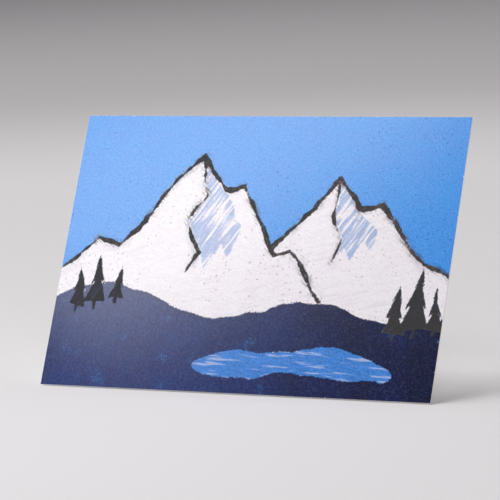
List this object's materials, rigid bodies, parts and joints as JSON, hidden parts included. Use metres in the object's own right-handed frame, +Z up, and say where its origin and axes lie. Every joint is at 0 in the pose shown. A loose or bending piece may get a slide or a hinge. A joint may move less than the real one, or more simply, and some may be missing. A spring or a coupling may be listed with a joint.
{
  "type": "postcard",
  "caption": "Picture postcard of thin coated board, standing on its lower edge and leaning back, with a pastel mountain picture in front and a ruled writing side.",
  "frame": {"origin": "middle of the card's lower edge, halfway through its thickness", "axes": "+X along the long side, to the right as the picture is seen; the picture faces -Y; +Z up, with the card leaning back towards +Y"},
  "size_m": [0.148, 0.045, 0.0896],
  "materials": {
    "core_board": "matt fibrous cut edge",
    "coated_face": "smooth satin coating",
    "writing_face": "matt uncoated paper",
    "sky_ink": "satin print with a pastel grain",
    "snow_ink": "satin print with a pastel grain",
    "shade_ink": "satin print with a pastel grain",
    "navy_ink": "satin print with a pastel grain",
    "lake_ink": "satin print with a pastel grain",
    "charcoal_ink": "dull print with a pastel grain",
    "line_ink": "matt grey print"
  },
  "bodies": {
    "root": {"card_core": "core_board", "front_coating": "coated_face", "back_liner": "writing_face", "sky_print": "sky_ink", "snow_print": "snow_ink", "shade_print": "shade_ink", "hills_print": "navy_ink", "lake_print": "lake_ink", "outline_print": "charcoal_ink", "pines_print": "charcoal_ink", "divider_line": "line_ink", "address_lines": "line_ink", "stamp_frame": "line_ink"}
  },
  "joints": []
}
